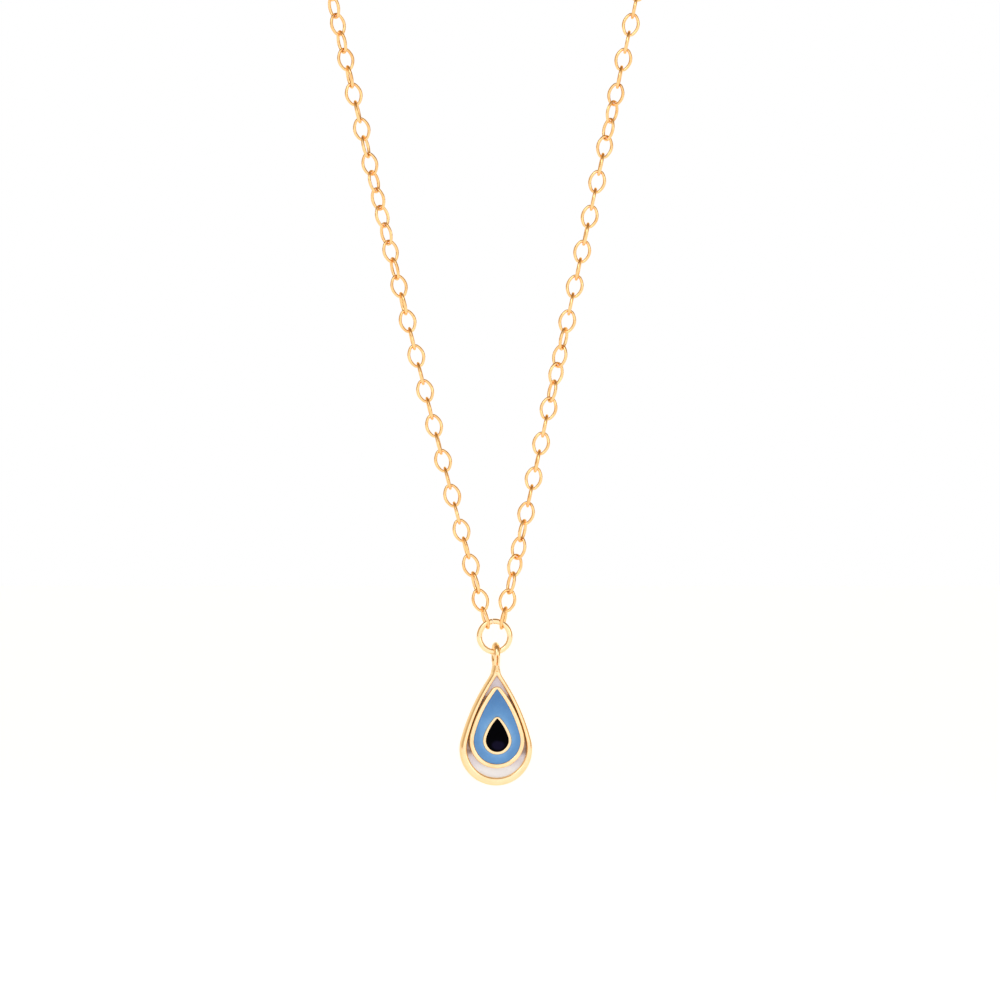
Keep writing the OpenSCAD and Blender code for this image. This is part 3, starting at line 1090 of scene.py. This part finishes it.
@dataclass
class SpringRingClasp:
    """Spring ring clasp with its rings, in its own frame: the ring in XY and the chain along X."""

    radius: float = 2.25
    tube: float = 1.3
    wall: float = 0.2
    mouth_from: float = math.radians(50)
    mouth_to: float = math.radians(88)
    gate_from: float = math.radians(46)
    gate_to: float = math.radians(128)
    gate_wire: float = 0.85
    nose_round: float = 0.16
    knob_at: float = math.radians(108)
    knob_out: float = 1.2
    knob: float = 0.75
    stem: float = 0.36
    slot_from: float = math.radians(103.5)
    slot_to: float = math.radians(154.5)
    slot_half: float = 0.24
    spring_from: float = math.radians(129)
    spring_to: float = math.radians(224)
    spring_turns: int = 14
    spring_wire: float = 0.14
    eyelet: float = 1.9
    eyelet_wire: float = 0.45
    eyelet_x: float = -3.7
    tie: float = 2.6
    tie_wire: float = 0.45
    tie_x: float = -5.02
    end_ring: float = 3.0
    end_ring_wire: float = 0.5
    end_ring_x: float = 2.57

    def build(self) -> None:
        """Builds the clasp and the rings on either side of it."""
        gate = joint("clasp_gate_turn")
        axis = Vector(gate["axis"])
        across = Vector((1, 0, 0))
        turn = Matrix((across, axis.cross(across), axis)).transposed().to_4x4()
        self.placing = Matrix.Translation(gate["pos_m"]) @ turn @ Matrix.Scale(MM, 4)
        self.gold = RIM_GOLD.dress()
        self._add("clasp_tube", "clasp_shell", self.shell())
        self._add("clasp_trigger", "clasp_gate", self.gate())
        self._add("clasp_coil", "clasp_spring", self.spring(), Slot.STEEL)
        tie_ring = self._standing(self.tie, self.tie_wire, self.tie_x, 0.03)
        self._add("clasp_tie_ring", "tie_ring", tie_ring)
        end_ring = self._standing(self.end_ring, self.end_ring_wire, self.end_ring_x, 0.0)
        self._add("chain_end_ring", "end_ring", end_ring)

    def _add(self, name: str, node: str, bm: BMesh, slot: Slot = Slot.POLISHED_GOLD) -> None:
        """Finishes one piece of the clasp."""
        dress = WIRE_STEEL.dress() if slot is Slot.STEEL else self.gold
        Piece(name, body_of(node), slot, (node,)).finish(bm, self.placing, dress)

    def _standing(self, diameter: float, wire: float, x: float, cut: float) -> BMesh:
        """A ring that stands across the clasp's plane."""
        bm = wire_ring(diameter, wire, cut, math.radians(60))
        stand = Matrix.Translation((x, 0, 0)) @ Matrix.Rotation(math.pi / 2, 4, "X")
        bmesh.ops.transform(bm, matrix=stand, verts=bm.verts)
        return bm

    def _arc(self, bm: BMesh, wire: float, start: float, end: float, steps: int) -> list[list[BMEdge]]:
        """A tube along the clasp's ring: the edges of its two ends."""
        stand = Matrix.Rotation(start, 4, "Z") @ Matrix.Translation((self.radius, 0, 0))
        edges = section(bm, wire / 2, 32, stand @ Matrix.Rotation(math.pi / 2, 4, "X"))
        return [edges, swept(bm, edges, Vector(), Vector((0, 0, 1)), end - start, steps)]

    def shell(self) -> BMesh:
        """Hollow tube with its mouth, the knob's slot and the eyelet."""
        bm = bmesh.new()
        self._arc(bm, self.tube, self.mouth_to, self.mouth_from + 2 * math.pi, 161)
        slotted = [face for face in bm.faces if self._in_slot(face.calc_center_median())]
        bmesh.ops.delete(bm, geom=slotted, context="FACES")
        closed_up(bm)
        bmesh.ops.solidify(bm, geom=bm.faces, thickness=self.wall)
        sharp = math.radians(60)
        rims = [edge for edge in bm.edges if edge.is_manifold and edge.calc_face_angle(0) > sharp]
        softened(bm, rims, self.wall * 0.25)
        eyelet = wire_ring(self.eyelet, self.eyelet_wire)
        bmesh.ops.transform(eyelet, matrix=Matrix.Translation((self.eyelet_x, 0, 0)), verts=eyelet.verts)
        mesh = bpy.data.meshes.new("eyelet")
        eyelet.to_mesh(mesh)
        eyelet.free()
        bm.from_mesh(mesh)
        bpy.data.meshes.remove(mesh)
        bmesh.ops.recalc_face_normals(bm, faces=bm.faces)
        return bm

    def _in_slot(self, place: Vector) -> bool:
        """True on the outer side of the tube where the knob slides."""
        angle = math.atan2(place.y, place.x) % (2 * math.pi)
        outside = Vector((place.x, place.y, 0)).length > self.radius
        return outside and abs(place.z) < self.slot_half and self.slot_from < angle < self.slot_to

    def gate(self) -> BMesh:
        """Sliding gate with a rounded nose, and its thumb knob."""
        bm = bmesh.new()
        for loop in self._arc(bm, self.gate_wire, self.gate_from, self.gate_to, 40):
            faces = bmesh.ops.contextual_create(bm, geom=loop)["faces"]
            rims = [edge for face in faces for edge in face.edges]
            softened(bm, rims, self.nose_round, 4)
        out, half = self.knob_out, self.knob / 2
        corner = 0.1
        outline = [
            (self.stem / 2, 0.0),
            (self.stem / 2, out - half),
            (half - corner, out - half),
            (half, out - half + corner),
            (half, out - corner),
            (half - corner, out),
            (0.0, out + 0.02),
        ]
        verts = [bm.verts.new((radius, 0, height)) for radius, height in outline]
        edges = [bm.edges.new(pair) for pair in zip(verts, verts[1:])]
        made = bmesh.ops.spin(bm, geom=verts + edges, cent=(0, 0, 0), axis=(0, 0, 1),
                              angle=2 * math.pi, steps=28, use_merge=True, use_duplicate=False)
        knob = {v for part in made["geom_last"] for v in (part.verts if hasattr(part, "verts") else [part])}
        grown = set(knob)
        while knob:
            knob = {e.other_vert(v) for v in knob for e in v.link_edges} - grown
            grown |= knob
        lie = Matrix.Rotation(self.knob_at, 4, "Z") @ Matrix.Translation((self.radius, 0, 0))
        bmesh.ops.transform(bm, matrix=lie @ Matrix.Rotation(math.pi / 2, 4, "Y"), verts=list(grown))
        closed_up(bm)
        return bm

    def spring(self) -> BMesh:
        """Coil spring wound along the tube behind the gate."""
        steps_a_turn = 14
        coil = (self.gate_wire - self.spring_wire) / 2
        count = self.spring_turns * steps_a_turn
        curve = bpy.data.curves.new("coil", "CURVE")
        curve.dimensions = "3D"
        curve.bevel_depth = self.spring_wire / 2
        curve.bevel_resolution = 2
        curve.use_fill_caps = True
        spline = curve.splines.new("POLY")
        spline.points.add(count)
        for i, point in enumerate(spline.points):
            share = i / count
            angle = self.spring_from + (self.spring_to - self.spring_from) * share
            turn = 2 * math.pi * self.spring_turns * share
            reach = self.radius + coil * math.cos(turn)
            point.co = (reach * math.cos(angle), reach * math.sin(angle), coil * math.sin(turn), 1)
        bm = settled(shown("coil", curve))
        bpy.data.curves.remove(curve)
        closed_up(bm)
        return bm


# Studio


@dataclass
class Studio:
    """White tent: a pale floor, a bright front and back, warm sides and a dark top."""

    view_width: float = 0.1
    camera_distance: float = 0.6
    sensor: float = 36.0
    aim_right: float = 0.00054
    aim_up: float = 0.01365
    floor_drop: float = 0.045
    floor_size: float = 9.0
    front_light: float = 1.25
    back_light: float = 1.0
    side_light: float = 0.92
    dim: Colour = (0.74, 0.55, 0.34, 1)
    dark: Colour = (0.38, 0.23, 0.10, 1)
    bright: Colour = (1.0, 0.985, 0.96, 1)

    def build(self) -> None:
        """Sets up the camera, the floor, the tent and its soft boxes."""
        bpy.context.scene.view_settings.view_transform = "Standard"
        self.ring = Vector(joint("ring_turn")["pos_m"])
        self._camera()
        self._floor()
        self._tent()
        self._soft_box("key_box", (-0.35, -0.5, 0.5), 0.3, 0.5)
        self._soft_box("fill_box", (0.45, -0.45, 0.15), 0.25, 0.2)
        self._soft_box("rear_box", (0.25, 0.55, 0.45), 0.3, 0.3)

    def _camera(self) -> None:
        """A long lens, level, that faces the hanging strands."""
        lens = bpy.data.cameras.new("camera")
        lens.sensor_width = self.sensor
        lens.lens = self.sensor * self.camera_distance / self.view_width
        lens.clip_start, lens.clip_end = 0.01, 40
        camera = shown("camera", lens)
        camera.location = self.ring + Vector((self.aim_right, -self.camera_distance, self.aim_up))
        camera.rotation_euler = (math.pi / 2, 0, 0)
        bpy.context.scene.camera = camera

    def _floor(self) -> None:
        """Plain pale floor well below the pendant."""
        bm = bmesh.new()
        bmesh.ops.create_grid(bm, x_segments=4, y_segments=4, size=self.floor_size / 2)
        mesh = bpy.data.meshes.new("floor")
        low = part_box("drop_rim")[0].z - self.floor_drop
        bmesh.ops.translate(bm, vec=(self.ring.x, self.ring.y, low), verts=bm.verts)
        bm.to_mesh(mesh)
        bm.free()
        paint = Dressing("pale_floor")
        paper = paint.noise(paint.place(), 40, 3)
        paint.set(
            Base_Color=paint.mix(paper, (0.90, 0.915, 0.93, 1), (0.92, 0.935, 0.95, 1)),
            Roughness=0.9,
            Emission_Color=(0.94, 0.97, 1, 1),
            Emission_Strength=0.6,
        )
        mesh.materials.append(paint.material)
        shown("floor", mesh)

    def _tent(self) -> None:
        """The tent's walls, which the gold reflects; the camera sees plain white."""
        world = bpy.data.worlds.new("tent")
        world.use_nodes = True
        bpy.context.scene.world = world
        tent = Tree(world.node_tree)
        way = tent.node("ShaderNodeTexCoord", {}, {}, "Generated")
        ways = {name: tent.node("ShaderNodeSeparateXYZ", {}, {0: way}, name) for name in "YZ"}
        front = ways["Y"].ramp(-0.25, -0.92) * self.front_light
        back = ways["Y"].ramp(0.4, 0.9) * self.back_light
        lit = front.larger(back)
        sides = tent.mix(ways["Z"].ramp(0.3, 0.8), self.dim, self.dark)
        seen = tent.node("ShaderNodeLightPath", {}, {}, "Is Camera Ray")
        walls = tent.mix(lit.ramp(0.0, 1.0), sides, self.bright)
        background = world.node_tree.nodes["Background"]
        tent.feed(background.inputs["Color"], tent.mix(seen, walls, (1, 1, 1, 1)))
        tent.feed(background.inputs["Strength"], seen.larger(lit).larger(self.side_light))

    def _soft_box(self, name: str, place: Sequence[float], size: float, power: float) -> None:
        """A square soft light that faces the pendant.

        Args:
            name: Its name.
            place: Its place from the jump ring.
            size: Its side.
            power: Its power, in watts.
        """
        light = bpy.data.lights.new(name, "AREA")
        light.size = size
        light.energy = power
        box = shown(name, light)
        box.location = self.ring + Vector(place)
        box.rotation_euler = (-Vector(place)).to_track_quat("-Z", "Y").to_euler()
        box.visible_camera = False


def main() -> None:
    """Builds the necklace and its studio."""
    logging.basicConfig(level=logging.INFO, format="%(name)s: %(message)s")
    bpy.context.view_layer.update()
    for group in (Studio(), Pendant(), JumpRing(), Chain(), SpringRingClasp()):
        group.build()
        log.info("%s done", type(group).__name__)


if __name__ == "__main__":
    main()
